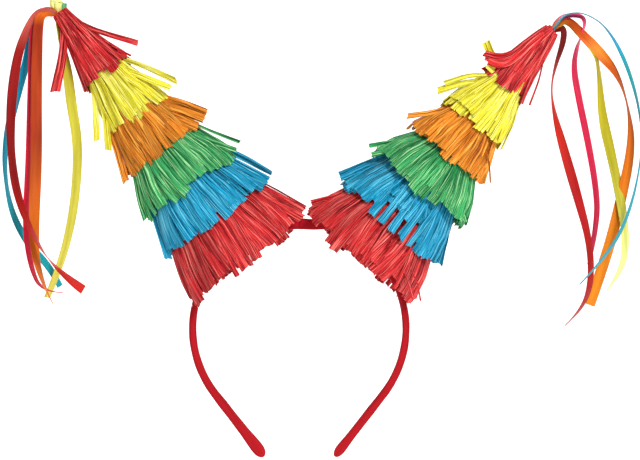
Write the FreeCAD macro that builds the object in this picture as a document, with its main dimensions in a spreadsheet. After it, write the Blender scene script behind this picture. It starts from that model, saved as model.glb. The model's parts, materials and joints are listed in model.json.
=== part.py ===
import FreeCAD, Part
import Sketcher
import math
import os

# A party headband in the style of a star pinata. A sprung plastic band, covered in
# satin, carries two paperboard cones that lean outward. Each cone is covered by six
# rows of paper fringe, and five satin ribbons hang from each tip.
#
# Frame, in millimetres: the origin is the centre of the band's arc, +Z is up to the
# crown, +X is to the right as seen from the front, and the band lies in the plane Y = 0
# with its front at -Y. Left and right in names are also as seen from the front.

SIZES = (
    # the band
    ("band_inner_radius", 62),
    ("band_outer_radius", 66),
    ("band_width", 7),
    ("core_inner_radius", 62.5),
    ("core_outer_radius", 65.5),
    ("core_width", 6),
    ("flex_angle", 78),
    ("flex_gap_angle", 2.2),
    ("knuckle_radius", 1.9),
    ("arc_end_angle", 128),
    ("arm_straight", 47.5),
    ("arm_core_inset", 4),
    ("end_cap_length", 12),
    ("end_cap_width", 8),
    ("end_cap_round", 2),
    ("left_end_thickness", 7.4),
    ("right_end_thickness", 5.6),
    # the two cones, measured along their axes from the ribbon knot
    ("left_lean", 37.1),
    ("right_lean", 40.17),
    ("left_knot_distance", 242),
    ("right_knot_distance", 240),
    ("shell_knot_radius", 2.25),
    ("shell_slope", 0.187),
    ("shell_wall", 0.8),
    ("shell_start", 6),
    ("shell_end_radius", 67.6),
    ("disc_outer_face", 67.5),
    ("disc_inner_face", 66.3),
    ("disc_margin", 0.1),
    ("saddle_length", 24),
    ("saddle_width", 12),
    ("saddle_bottom", 62.8),
    ("tie_radius", 3.2),
    ("tie_start", 4),
    ("tie_shoulder", 5.9),
    ("tie_plug_radius", 2.2),
    ("tie_end", 9),
    # the paper fringe
    ("paper_gap", 0.2),
    ("paper_skin", 1),
    ("hem_height", 9),
    ("top_row_start", 7),
    ("top_row_start_radius", 4.4),
    ("top_row_roll", 13),
    ("top_row_roll_radius", 8),
    ("top_row_shoulder", 18),
    ("top_row_shoulder_radius", 9.5),
    ("head_room_radius", 62.5),
    ("head_room_depth", 120),
    ("left_end_row1", 51),
    ("left_end_row2", 82.5),
    ("left_end_row3", 109.5),
    ("left_end_row4", 134.5),
    ("left_end_row5", 159.5),
    ("left_end_row6", 188),
    ("left_spread_row1", 17),
    ("left_spread_row2", 20.5),
    ("left_spread_row3", 26),
    ("left_spread_row4", 33),
    ("left_spread_row5", 37),
    ("left_spread_row6", 41.3),
    ("right_end_row1", 50),
    ("right_end_row2", 79),
    ("right_end_row3", 104),
    ("right_end_row4", 129),
    ("right_end_row5", 156),
    ("right_end_row6", 181),
    ("right_spread_row1", 15),
    ("right_spread_row2", 22.4),
    ("right_spread_row3", 28),
    ("right_spread_row4", 36),
    ("right_spread_row5", 37.7),
    ("right_spread_row6", 41.8),
    # the ribbons
    ("ribbon_width", 7),
    ("ribbon_thickness", 0.4),
    ("ribbon_layer", 1.4),
    ("ribbon_tilt", 3),
    ("bend_share", 0.45),
    ("fold_width", 9),
    ("fold_height", 9),
    ("fold_thickness", 1.2),
    ("fold_back", 3.7),
)

ROW_COLOURS = ("red_top", "yellow", "orange", "green", "blue", "red_base")

# Each ribbon's route, (x, z) in millimetres, from the knot down to its cut end, and
# its layer from front (-2) to back (+2).
RIBBONS = {
    "left": {
        "red": (-2, ((-149.6, 190.3), (-156.2, 189.8), (-162.6, 179.8), (-168.2, 164.5),
                     (-171.6, 138), (-171.3, 108), (-167.5, 80.5), (-158.2, 56),
                     (-144.5, 35.5), (-127.7, 23.7))),
        "orange": (-1, ((-149.5, 190.5), (-155, 188.6), (-156.5, 180.5), (-156.9, 166),
                        (-157.4, 139), (-156.9, 94), (-158.2, 60), (-156, 34),
                        (-146.8, 15.3))),
        "pink": (0, ((-149.3, 190.6), (-155.4, 189.4), (-159, 182.5), (-159.9, 168),
                     (-161, 140), (-162.3, 96), (-163.5, 62), (-160.8, 38),
                     (-154.5, 22.8), (-142, 21.5))),
        "yellow": (1, ((-149, 191.6), (-153.4, 187.5), (-152.5, 179), (-148.3, 168),
                       (-141.6, 152), (-136.2, 126), (-134, 98), (-136.6, 67),
                       (-143.6, 38), (-152.3, 18.3))),
        "blue": (2, ((-149.3, 190), (-155.8, 187.4), (-161.2, 177), (-163.9, 160.5),
                     (-170.2, 140), (-176.6, 117), (-178.2, 97), (-174.6, 70.5),
                     (-164.2, 49.2), (-151.3, 35.6), (-145.4, 24.9))),
    },
    "right": {
        "turquoise": (-2, ((157.5, 186.6), (163.8, 189), (173.5, 187.6), (184.5, 178.8),
                           (196.2, 157.5), (203.2, 129), (202.9, 99), (194.6, 66),
                           (180.6, 41.2), (166.3, 26.7))),
        "red": (-1, ((158.6, 183), (160.8, 177.5), (159.6, 168.5), (155.6, 153.5),
                     (152, 138.5), (157.2, 111), (168.2, 74), (173.8, 38.5),
                     (168.5, 13), (158.4, 2.1))),
        "yellow": (1, ((158.9, 182.6), (165.6, 179.6), (174.6, 170.6), (179.9, 155),
                       (181.4, 132), (187, 104), (193.4, 73), (195.2, 48),
                       (184.3, 22.7))),
        "orange": (0, ((157.8, 185.2), (162.4, 183.8), (168.2, 177.6), (179.5, 166),
                       (191.5, 150.5), (197.8, 129), (198.2, 104), (191.8, 73),
                       (183.6, 41), (174, 14.1))),
        "pink": (2, ((157, 186.4), (163.5, 188.2), (170.3, 185.4), (170.6, 178.2),
                     (166.8, 166.5), (166.6, 149), (172.6, 121), (179, 88),
                     (179.8, 61), (175.6, 38))),
    },
}

SIDES = (("left", -1), ("right", 1))

X_AXIS = FreeCAD.Vector(1, 0, 0)
Y_AXIS = FreeCAD.Vector(0, 1, 0)

doc = FreeCAD.newDocument("pinata_headband")
sheet = doc.addObject("Spreadsheet::Sheet", "Sizes")
for row, (alias, number) in enumerate(SIZES, start=1):
    sheet.set(f"A{row}", alias)
    sheet.set(f"B{row}", str(number))
    sheet.setAlias(f"B{row}", alias)
doc.recompute()

nodes = []


def size(alias):
    """A driving dimension's value."""
    return float(sheet.get(alias))


def value(expression):
    """What an expression of the sheet's cells comes to."""
    return float(sheet.evalExpression(expression))


def bind(thing, **expressions):
    """Bind an object's properties to expressions of the sheet's cells."""
    for name, expression in expressions.items():
        thing.setExpression(name, expression)


def keep(thing, label):
    """Name a finished sub-part, so that it is written to a file of its own."""
    thing.Label = label
    nodes.append(thing)
    return thing


# ---------------------------------------------------------------- shared shapes

def polar_point(radius, angle):
    """The point of the band's plane at a radius and an angle from the crown."""
    turn = math.radians(angle)
    return FreeCAD.Vector(radius * math.sin(turn), 0, radius * math.cos(turn))


def cylinder_about_y(name, radius, height, depth):
    """A cylinder along Y, centred on Y = 0. radius and height are expressions."""
    barrel = doc.addObject("Part::Cylinder", name)
    bind(barrel, Radius=radius, Height=height)
    barrel.Placement = FreeCAD.Placement(FreeCAD.Vector(0, depth / 2, 0), FreeCAD.Rotation(X_AXIS, 90))
    return barrel


def arc_block(name, inner, outer, width, sweep, first_angle):
    """A stretch of flat band. first_angle is where it starts, from +X towards +Z."""
    depth = size(width)
    block = cylinder_about_y(name + "_outer", f"Sizes.{outer}", f"Sizes.{width}", depth)
    bind(block, Angle=sweep)
    turn = FreeCAD.Placement(FreeCAD.Vector(), FreeCAD.Rotation(Y_AXIS, -first_angle))
    block.Placement = turn.multiply(block.Placement)
    inside = cylinder_about_y(name + "_inner", f"Sizes.{inner}", f"2 * Sizes.{width}", 2 * depth)
    arc = doc.addObject("Part::Cut", name)
    arc.Base = block
    arc.Tool = inside
    return arc


def fused(name, pieces):
    union = doc.addObject("Part::MultiFuse", name)
    union.Shapes = pieces
    return union


def cut(name, base, tool):
    result = doc.addObject("Part::Cut", name)
    result.Base = base
    result.Tool = tool
    return result


def new_sketch(body, role):
    """A sketch on one of the body's own origin planes."""
    sketch = body.newObject("Sketcher::SketchObject", body.Name + "_sketch")
    plane = [feature for feature in body.Origin.OriginFeatures if feature.Role == role][0]
    sketch.AttachmentSupport = (plane, [""])
    sketch.MapMode = "FlatFace"
    return sketch


def pin_corner(sketch, line, radius, height):
    """Hold a line's first end at a radius from the axis and a height along it."""
    if radius == "0":
        sketch.addConstraint(Sketcher.Constraint("PointOnObject", line, 1, -2))
    else:
        across = sketch.addConstraint(Sketcher.Constraint("DistanceX", -1, 1, line, 1, value(radius)))
        sketch.setExpression(f"Constraints[{across}]", radius)
    along = sketch.addConstraint(Sketcher.Constraint("DistanceY", -1, 1, line, 1, value(height)))
    sketch.setExpression(f"Constraints[{along}]", height)


def revolved(name, outline):
    """A body turned about its Z axis. outline holds (radius, height) expressions."""
    body = doc.addObject("PartDesign::Body", name)
    sketch = new_sketch(body, "XZ_Plane")
    corners = [FreeCAD.Vector(value(radius), value(height), 0) for radius, height in outline]
    count = len(corners)
    for line in range(count):
        sketch.addGeometry(Part.LineSegment(corners[line], corners[(line + 1) % count]), False)
    for line in range(count):
        sketch.addConstraint(Sketcher.Constraint("Coincident", line, 2, (line + 1) % count, 1))
    for line, (radius, height) in enumerate(outline):
        pin_corner(sketch, line, radius, height)
    turn = body.newObject("PartDesign::Revolution", name + "_turn")
    turn.Profile = sketch
    turn.ReferenceAxis = (sketch, ["V_Axis"])
    turn.Angle = 360
    return body


# ---------------------------------------------------------------- the band

def make_crown():
    """The band's top: a plastic core in a satin sleeve, between the two flex points."""
    sweep = "2 * (Sizes.flex_angle - Sizes.flex_gap_angle)"
    first = 90 - (size("flex_angle") - size("flex_gap_angle"))
    core = arc_block("crown_core_arc", "core_inner_radius", "core_outer_radius", "core_width", sweep, first)
    skin = arc_block("crown_sleeve_arc", "band_inner_radius", "band_outer_radius", "band_width", sweep, first)
    keep(core, "crown_core")
    keep(cut("crown_sleeve_hollow", skin, core), "crown_sleeve")


def arm_placement(side):
    """Where the arm's straight run starts, local Z along the run."""
    middle = (size("band_inner_radius") + size("band_outer_radius")) / 2
    start = polar_point(middle, side * size("arc_end_angle"))
    return FreeCAD.Placement(start, FreeCAD.Rotation(Y_AXIS, side * (size("arc_end_angle") + 90)))


def arm_core(name, side):
    """The core below a flex point: a round knuckle, the rest of the arc, the straight run."""
    middle = (size("core_inner_radius") + size("core_outer_radius")) / 2
    width = size("core_width")
    knuckle = cylinder_about_y(name + "_knuckle", "Sizes.knuckle_radius", "Sizes.core_width", width)
    knuckle.Placement.Base += polar_point(middle, side * size("flex_angle"))
    first = 90 - size("arc_end_angle") if side > 0 else 90 + size("flex_angle")
    sweep = "Sizes.arc_end_angle - Sizes.flex_angle"
    arc = arc_block(name + "_arc", "core_inner_radius", "core_outer_radius", "core_width", sweep, first)
    run = doc.addObject("Part::Box", name + "_run")
    bind(run, Length="Sizes.core_outer_radius - Sizes.core_inner_radius", Width="Sizes.core_width",
         Height="Sizes.arm_straight - Sizes.arm_core_inset")
    thickness = size("core_outer_radius") - size("core_inner_radius")
    corner = FreeCAD.Placement(FreeCAD.Vector(-thickness / 2, -width / 2, 0), FreeCAD.Rotation())
    run.Placement = arm_placement(side).multiply(corner)
    return fused(name + "_whole", [knuckle, arc, run])


def arm_sleeve(name, side, core):
    """The satin sleeve, which thickens along the straight run where the cloth is folded."""
    sweep = "Sizes.arc_end_angle - Sizes.flex_angle - Sizes.flex_gap_angle"
    first = 90 - size("arc_end_angle") if side > 0 else 90 + size("flex_angle") + size("flex_gap_angle")
    arc = arc_block(name + "_arc", "band_inner_radius", "band_outer_radius", "band_width", sweep, first)
    run = doc.addObject("Part::Wedge", name + "_run")
    start_half = "(Sizes.band_outer_radius - Sizes.band_inner_radius) / 2"
    end_half = f"Sizes.{name.split('_')[0]}_end_thickness / 2"
    depth_half = "Sizes.band_width / 2"
    bind(run, Xmin=f"-{start_half}", Xmax=start_half, X2min=f"-{end_half}", X2max=end_half,
         Zmin=f"-{depth_half}", Zmax=depth_half, Z2min=f"-{depth_half}", Z2max=depth_half,
         Ymax="Sizes.arm_straight - Sizes.end_cap_length")
    run.Ymin = 0
    upright = FreeCAD.Placement(FreeCAD.Vector(), FreeCAD.Rotation(X_AXIS, 90))
    run.Placement = arm_placement(side).multiply(upright)
    return cut(name + "_hollow", fused(name + "_whole", [arc, run]), core)


def arm_end_cap(name, side, core):
    """The folded, glued end of the sleeve: a rounded block that the core's end sits in."""
    body = doc.addObject("PartDesign::Body", name + "_block")
    sketch = new_sketch(body, "XY_Plane")
    thickness = f"Sizes.{name.split('_')[0]}_end_thickness"
    across = value(thickness) / 2
    deep = size("end_cap_width") / 2
    corners = [FreeCAD.Vector(x * across, y * deep, 0) for x, y in ((-1, -1), (1, -1), (1, 1), (-1, 1))]
    for line in range(4):
        sketch.addGeometry(Part.LineSegment(corners[line], corners[(line + 1) % 4]), False)
    for line in range(4):
        sketch.addConstraint(Sketcher.Constraint("Coincident", line, 2, (line + 1) % 4, 1))
    for line in (0, 2):
        sketch.addConstraint(Sketcher.Constraint("Horizontal", line))
        sketch.addConstraint(Sketcher.Constraint("Vertical", line + 1))
    sketch.addConstraint(Sketcher.Constraint("Symmetric", 0, 1, 1, 2, -1, 1))
    wide = sketch.addConstraint(Sketcher.Constraint("DistanceX", 0, 1, 0, 2, 2 * across))
    sketch.setExpression(f"Constraints[{wide}]", thickness)
    tall = sketch.addConstraint(Sketcher.Constraint("DistanceY", 1, 1, 1, 2, 2 * deep))
    sketch.setExpression(f"Constraints[{tall}]", "Sizes.end_cap_width")
    pad = body.newObject("PartDesign::Pad", name + "_pad")
    pad.Profile = sketch
    bind(pad, Length="Sizes.end_cap_length")
    doc.recompute()
    edges = [f"Edge{number}" for number, edge in enumerate(pad.Shape.Edges, start=1)
             if edge.BoundBox.ZMax > size("end_cap_round")]
    rounding = body.newObject("PartDesign::Fillet", name + "_rounding")
    rounding.Base = (pad, edges)
    bind(rounding, Radius="Sizes.end_cap_round")
    start = FreeCAD.Vector(0, 0, size("arm_straight") - size("end_cap_length"))
    body.Placement = arm_placement(side).multiply(FreeCAD.Placement(start, FreeCAD.Rotation()))
    return cut(name + "_hollow", body, core)


def make_arms():
    for name, side in SIDES:
        core = keep(arm_core(f"{name}_core", side), f"{name}_arm_core")
        keep(arm_sleeve(f"{name}_sleeve", side, core), f"{name}_arm_sleeve")
        keep(arm_end_cap(f"{name}_cap", side, core), f"{name}_end_cap")


# ---------------------------------------------------------------- the cones

def cone_placement(name, side):
    """The ribbon knot's place, local Z running down the cone's axis to the band."""
    lean = side * size(f"{name}_lean")
    knot = polar_point(size(f"{name}_knot_distance"), lean)
    return FreeCAD.Placement(knot, FreeCAD.Rotation(Y_AXIS, lean + 180))


def shell_radius(height):
    """The paperboard cone's outer radius, as an expression of the height."""
    return f"Sizes.shell_knot_radius + Sizes.shell_slope * ({height})"


def make_cone(name, side, placement):
    """The paperboard cone, the disc that closes it, and the stepped plug in its tip."""
    knot = f"Sizes.{name}_knot_distance"
    start = "Sizes.shell_start"
    end = f"{knot} - Sizes.shell_end_radius"
    shell = revolved(f"{name}_shell_body", (
        (f"{shell_radius(start)} - Sizes.shell_wall", start),
        (shell_radius(start), start),
        (shell_radius(end), end),
        (f"{shell_radius(end)} - Sizes.shell_wall", end)))
    disc_outer = f"{knot} - Sizes.disc_outer_face"
    disc_inner = f"{knot} - Sizes.disc_inner_face"
    rim = f"{shell_radius(end)} - Sizes.disc_margin"
    disc = revolved(f"{name}_disc_body", (
        ("0", disc_outer), (rim, disc_outer), (rim, disc_inner), ("0", disc_inner)))
    tie = revolved(f"{name}_tie_body", (
        ("0", "Sizes.tie_start"), ("Sizes.tie_radius", "Sizes.tie_start"),
        ("Sizes.tie_radius", "Sizes.tie_shoulder"), ("Sizes.tie_plug_radius", "Sizes.tie_shoulder"),
        ("Sizes.tie_plug_radius", "Sizes.tie_end"), ("0", "Sizes.tie_end")))
    for body, label in ((shell, "cone_shell"), (disc, "base_disc"), (tie, "tip_tie")):
        body.Placement = placement
        keep(body, f"{name}_{label}")


def make_saddle(name, side):
    """The hot-melt glue that bridges the flat disc and the round band."""
    block = doc.addObject("Part::Box", f"{name}_saddle_block")
    bind(block, Length="Sizes.saddle_length", Width="Sizes.saddle_width",
         Height="Sizes.disc_inner_face - Sizes.saddle_bottom")
    corner = FreeCAD.Vector(-size("saddle_length") / 2, -size("saddle_width") / 2, size("saddle_bottom"))
    lean = FreeCAD.Placement(FreeCAD.Vector(), FreeCAD.Rotation(Y_AXIS, side * size(f"{name}_lean")))
    block.Placement = lean.multiply(FreeCAD.Placement(corner, FreeCAD.Rotation()))
    band = arc_block(f"{name}_saddle_slot", "band_inner_radius", "band_outer_radius", "band_width",
                     "2 * Sizes.flex_angle", 90 - size("flex_angle"))
    keep(cut(f"{name}_saddle", block, band), f"{name}_glue_saddle")


# ---------------------------------------------------------------- the paper fringe

def top_row(name):
    """The first row is rolled thickly round the tip, then hangs down the cone."""
    end = f"Sizes.{name}_end_row1"
    spread = f"Sizes.{name}_spread_row1"
    start = "Sizes.top_row_start"
    shoulder = "Sizes.top_row_shoulder"
    return revolved(f"{name}_row1_body", (
        (f"{shell_radius(start)} + Sizes.paper_gap", start),
        ("Sizes.top_row_start_radius", start),
        ("Sizes.top_row_roll_radius", "Sizes.top_row_roll"),
        ("Sizes.top_row_shoulder_radius", shoulder),
        (spread, end),
        (f"{spread} - Sizes.paper_skin", end),
        (f"{shell_radius(shoulder)} + Sizes.paper_gap", shoulder)))


def lower_row(name, row):
    """A row hugs the cone under the row above it, then flares to its cut ends."""
    above = f"Sizes.{name}_end_row{row - 1}"
    end = f"Sizes.{name}_end_row{row}"
    spread = f"Sizes.{name}_spread_row{row}"
    start = f"{above} - Sizes.hem_height"
    return revolved(f"{name}_row{row}_body", (
        (f"{shell_radius(start)} + Sizes.paper_gap", start),
        (f"{shell_radius(start)} + Sizes.paper_gap + Sizes.paper_skin", start),
        (f"{shell_radius(above)} + Sizes.paper_gap + Sizes.paper_skin", above),
        (spread, end),
        (f"{spread} - Sizes.paper_skin", end),
        (f"{shell_radius(above)} + Sizes.paper_gap", above)))


def make_fringe(name, placement):
    """Six rows from the tip down. The last is cut back from the space for the head."""
    last = len(ROW_COLOURS)
    for row, colour in enumerate(ROW_COLOURS, start=1):
        body = top_row(name) if row == 1 else lower_row(name, row)
        body.Placement = placement
        if row == last:
            head = cylinder_about_y(f"{name}_head_room", "Sizes.head_room_radius",
                                    "Sizes.head_room_depth", size("head_room_depth"))
            body = cut(f"{name}_row{row}_cut", body, head)
        keep(body, f"{name}_fringe_{colour}")


# ---------------------------------------------------------------- the ribbons

def ribbon_bends(label, route):
    """The route's tangent arcs, as (start, centre, end, radius) for each corner."""
    bends = []
    for before, corner, after in zip(route, route[1:], route[2:]):
        first = corner.sub(before)
        second = after.sub(corner)
        trim = size("bend_share") * min(first.Length, second.Length)
        first.normalize()
        second.normalize()
        turn = first.getAngle(second)
        radius = trim / math.tan(turn / 2)
        start = corner.sub(first * trim)
        end = corner.add(second * trim)
        towards = (second.sub(first)).normalize()
        centre = corner.add(towards * (radius / math.cos(turn / 2)))
        bends.append((start, centre, end, radius))
    print(label, "radii", [round(bend[3], 1) for bend in bends])
    return bends


def offset_point(point, direction, distance):
    """A point moved sideways in the plane Y = 0, to the left of a direction."""
    left = FreeCAD.Vector(-direction.z, 0, direction.x)
    return point.add(left * distance)


def ribbon_face(label, route):
    """The flat ribbon's outline: straight runs joined by arcs about common centres."""
    half = size("ribbon_width") / 2
    bends = ribbon_bends(label, route)
    runs = []
    place = route[0]
    for start, centre, end, radius in bends:
        runs.append((place, start))
        place = end
    runs.append((place, route[-1]))
    edges = []
    length = sum(start.distanceToPoint(end) for start, end in runs)
    for edge_side in (half, -half):
        for start, end in runs:
            along = end.sub(start).normalize()
            edges.append(Part.makeLine(offset_point(start, along, edge_side),
                                       offset_point(end, along, edge_side)))
        for (start, centre, end, radius), run_in, run_out in zip(bends, runs, runs[1:]):
            along_in = run_in[1].sub(run_in[0]).normalize()
            along_out = run_out[1].sub(run_out[0]).normalize()
            outer_start = offset_point(start, along_in, edge_side)
            outer_end = offset_point(end, along_out, edge_side)
            middle_way = (outer_start.add(outer_end) * 0.5).sub(centre).normalize()
            middle = centre.add(middle_way * outer_start.distanceToPoint(centre))
            edges.append(Part.Arc(outer_start, middle, outer_end).toShape())
    for point, run in ((route[0], runs[0]), (route[-1], runs[-1])):
        along = run[1].sub(run[0]).normalize()
        edges.append(Part.makeLine(offset_point(point, along, half), offset_point(point, along, -half)))
    for start, centre, end, radius in bends:
        chord = start.distanceToPoint(end)
        length += 2 * radius * math.asin(chord / (2 * radius))
    outline = Part.Wire(Part.__sortEdges__(edges))
    return Part.Face(outline), length


def make_ribbon(name, side, colour, layer, points):
    """One flat ribbon in its own tilted plane, so that it clears the others as it swings."""
    label = f"{name}_ribbon_{colour}"
    knot = cone_placement(name, side).Base
    route = [FreeCAD.Vector(x, 0, z).sub(knot) for x, z in points]
    face, length = ribbon_face(label, route)
    thickness = size("ribbon_thickness")
    face.translate(FreeCAD.Vector(0, -thickness / 2, 0))
    strip = face.extrude(FreeCAD.Vector(0, thickness, 0))
    expected = size("ribbon_width") * thickness * length
    print(label, "length", round(length, 1), "volume", round(strip.Volume, 2), "section x length",
          round(expected, 2))
    ribbon = doc.addObject("Part::Feature", label + "_strip")
    ribbon.Shape = strip
    ribbon.Placement = FreeCAD.Placement(knot.add(Y_AXIS * (layer * size("ribbon_layer"))),
                                         FreeCAD.Rotation(X_AXIS, layer * size("ribbon_tilt")))
    keep(ribbon, label)


def make_fold():
    """The stiff stub of folded ribbon that stands behind the left knot."""
    fold = doc.addObject("Part::Box", "left_fold_block")
    bind(fold, Length="Sizes.fold_width", Width="Sizes.fold_thickness", Height="Sizes.fold_height")
    knot = cone_placement("left", -1).Base
    fold.Placement = FreeCAD.Placement(
        FreeCAD.Vector(knot.x - size("tie_radius"), size("fold_back"), knot.z - size("fold_height") / 2),
        FreeCAD.Rotation())
    keep(fold, "left_tip_fold")


# ---------------------------------------------------------------- build and write

make_crown()
make_arms()
for name, side in SIDES:
    placement = cone_placement(name, side)
    make_cone(name, side, placement)
    make_saddle(name, side)
    make_fringe(name, placement)
    for colour, (layer, points) in RIBBONS[name].items():
        make_ribbon(name, side, colour, layer, points)
make_fold()

doc.recompute()
for thing in doc.Objects:
    if {"Invalid", "Error"} & set(thing.State):
        raise SystemExit(f"{thing.Label} did not build: {thing.State}")
for node in nodes:
    if node.Shape.isNull() or not node.Shape.isValid() or not node.Shape.Solids:
        raise SystemExit(f"{node.Label} has no valid solid")

os.makedirs("parts", exist_ok=True)
for node in nodes:
    node.Shape.exportStep(os.path.join("parts", node.Label + ".step"))
    print(f"{node.Label}: {len(node.Shape.Solids)} solid, {node.Shape.Volume:.0f} mm3")
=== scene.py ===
import json
import math

import bpy
import numpy as np
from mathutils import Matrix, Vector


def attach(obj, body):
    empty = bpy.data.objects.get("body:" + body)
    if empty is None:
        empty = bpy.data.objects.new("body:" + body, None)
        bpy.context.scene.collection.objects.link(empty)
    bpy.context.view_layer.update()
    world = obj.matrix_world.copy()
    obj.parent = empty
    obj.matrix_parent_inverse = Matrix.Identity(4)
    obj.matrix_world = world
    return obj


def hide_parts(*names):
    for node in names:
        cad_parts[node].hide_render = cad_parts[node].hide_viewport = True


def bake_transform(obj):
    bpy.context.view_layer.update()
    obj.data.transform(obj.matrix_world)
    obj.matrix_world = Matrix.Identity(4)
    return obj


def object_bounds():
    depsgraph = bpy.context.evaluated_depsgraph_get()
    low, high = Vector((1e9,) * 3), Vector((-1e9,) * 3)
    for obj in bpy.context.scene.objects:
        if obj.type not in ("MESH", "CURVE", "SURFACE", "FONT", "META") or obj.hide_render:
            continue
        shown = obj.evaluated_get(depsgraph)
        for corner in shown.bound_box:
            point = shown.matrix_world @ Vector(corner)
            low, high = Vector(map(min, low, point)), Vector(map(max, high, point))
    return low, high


# A pinata style party headband: a satin band, two cones of paper fringe and their ribbons.
# The paper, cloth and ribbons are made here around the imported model. Lengths are in
# millimetres where a name ends in _MM, and in metres everywhere else.

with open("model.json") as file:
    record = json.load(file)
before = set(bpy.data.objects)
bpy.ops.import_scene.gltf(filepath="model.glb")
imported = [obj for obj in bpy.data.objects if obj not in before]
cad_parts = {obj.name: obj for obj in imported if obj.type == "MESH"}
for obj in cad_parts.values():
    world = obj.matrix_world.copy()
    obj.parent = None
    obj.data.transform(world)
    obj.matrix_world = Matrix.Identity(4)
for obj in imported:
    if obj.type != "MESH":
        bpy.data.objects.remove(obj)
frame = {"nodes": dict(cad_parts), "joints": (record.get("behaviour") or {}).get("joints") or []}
cad_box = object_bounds()

MM = 0.001
SIDES = (("left", -1), ("right", 1))
ROW_NAMES = ("red_top", "yellow", "orange", "green", "blue", "red_base")


# ---------------------------------------------------------------- camera, floor and light

def make_camera():
    """Straight on from the front, far enough back that the two cones look alike in size."""
    data = bpy.data.cameras.new("camera")
    data.sensor_width = 36
    data.lens = 150
    camera = bpy.data.objects.new("camera", data)
    camera.location = (0.0124, -1.6, 0.0591)
    camera.rotation_euler = (math.radians(90), 0, 0)
    bpy.context.collection.objects.link(camera)
    bpy.context.scene.camera = camera


def area_light(name, place, target, size, power):
    """A round lamp at a place, turned towards its target."""
    data = bpy.data.lights.new(name, "AREA")
    data.shape = "DISK"
    data.size = size
    data.energy = power
    lamp = bpy.data.objects.new(name, data)
    lamp.location = place
    away = Vector(place) - Vector(target)
    lamp.rotation_euler = away.to_track_quat("Z", "Y").to_euler()
    bpy.context.collection.objects.link(lamp)


def make_stage():
    """A wide white floor that curves up behind, and soft light all round."""
    floor_gap = 0.03
    floor_height = cad_box[0][2] - floor_gap
    front, depth, half_width, rise, bend = -5.0, 4.0, 6.0, 3.0, 1.2
    profile = [(front, 0.0), (depth, 0.0)]
    for turn in np.linspace(0.1, math.pi / 2, 14):
        profile.append((depth + bend * math.sin(turn), bend * (1 - math.cos(turn))))
    profile.append((depth + bend, rise))
    points = [(x, y, floor_height + z) for y, z in profile for x in (-half_width, half_width)]
    faces = [(2 * i, 2 * i + 1, 2 * i + 3, 2 * i + 2) for i in range(len(profile) - 1)]
    mesh = bpy.data.meshes.new("floor")
    mesh.from_pydata(points, [], faces)
    mesh.shade_smooth()
    floor = bpy.data.objects.new("floor", mesh)
    bpy.context.collection.objects.link(floor)
    material, _, shader = new_material("floor_white", 0.9)
    shader.inputs["Base Color"].default_value = (0.95, 0.95, 0.95, 1)
    shader.inputs["Emission Color"].default_value = (1, 1, 1, 1)
    shader.inputs["Emission Strength"].default_value = 0.7
    mesh.materials.append(material)
    world = bpy.data.worlds.new("studio")
    world.use_nodes = True
    background = world.node_tree.nodes["Background"]
    background.inputs["Color"].default_value = (1, 1, 1, 1)
    background.inputs["Strength"].default_value = 0.5
    bpy.context.scene.world = world
    bpy.context.scene.view_settings.view_transform = "Standard"
    middle = (0, 0, 0.08)
    area_light("key_light", (0.62, -1.5, 0.95), middle, 0.4, 30)
    area_light("rear_light", (-0.3, 1.4, 1.0), middle, 0.8, 7)


# ---------------------------------------------------------------- materials

# How fine each texture is on a strip or ribbon, per millimetre across it and along it.
FIBRE_SCALE = (1.9, 0.03, 1)
PATCH_SCALE = (0.10, 0.010, 1)
FLOAT_SCALE = (0.35, 0.03, 1)
WEFT_SCALE = (0.3, 7.0, 1)
# The length that a satin's tones are spread over.
SATIN_LENGTH_MM = 185


def new_material(name, roughness):
    """A material, its node tree and its Principled shader."""
    material = bpy.data.materials.new(name)
    material.use_nodes = True
    shader = material.node_tree.nodes["Principled BSDF"]
    shader.inputs["Roughness"].default_value = roughness
    return material, material.node_tree, shader


def noise(tree, coordinate, scale, detail=4.0, rough=0.6):
    """Noise over a coordinate that is stretched by scale, a vector."""
    stretch = tree.nodes.new("ShaderNodeMapping")
    stretch.inputs["Scale"].default_value = scale
    tree.links.new(coordinate, stretch.inputs["Vector"])
    texture = tree.nodes.new("ShaderNodeTexNoise")
    texture.inputs["Scale"].default_value = 1
    texture.inputs["Detail"].default_value = detail
    texture.inputs["Roughness"].default_value = rough
    tree.links.new(stretch.outputs["Vector"], texture.inputs["Vector"])
    return texture.outputs["Fac"]


def ramp(tree, factor, stops):
    """A colour ramp of (place, colour) stops."""
    node = tree.nodes.new("ShaderNodeValToRGB")
    elements = node.color_ramp.elements
    while len(elements) < len(stops):
        elements.new(0.5)
    for element, (place, colour) in zip(elements, stops):
        element.position = place
        element.color = (*colour, 1)
    tree.links.new(factor, node.inputs["Fac"])
    return node.outputs["Color"]


def multiplied(tree, first, second):
    """One colour times another."""
    node = tree.nodes.new("ShaderNodeMix")
    node.data_type = "RGBA"
    node.blend_type = "MULTIPLY"
    node.inputs["Factor"].default_value = 1.0
    tree.links.new(first, node.inputs["A"])
    tree.links.new(second, node.inputs["B"])
    return node.outputs["Result"]


def bump(tree, shader, height, strength, distance):
    """Relief on the shader, from a height texture."""
    node = tree.nodes.new("ShaderNodeBump")
    node.inputs["Strength"].default_value = strength
    node.inputs["Distance"].default_value = distance
    tree.links.new(height, node.inputs["Height"])
    tree.links.new(node.outputs["Normal"], shader.inputs["Normal"])


def uv_coordinate(tree):
    """The place on a strip, in millimetres across it and along it."""
    node = tree.nodes.new("ShaderNodeUVMap")
    node.uv_map = "fibre_mm"
    return node.outputs["UV"]


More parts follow.
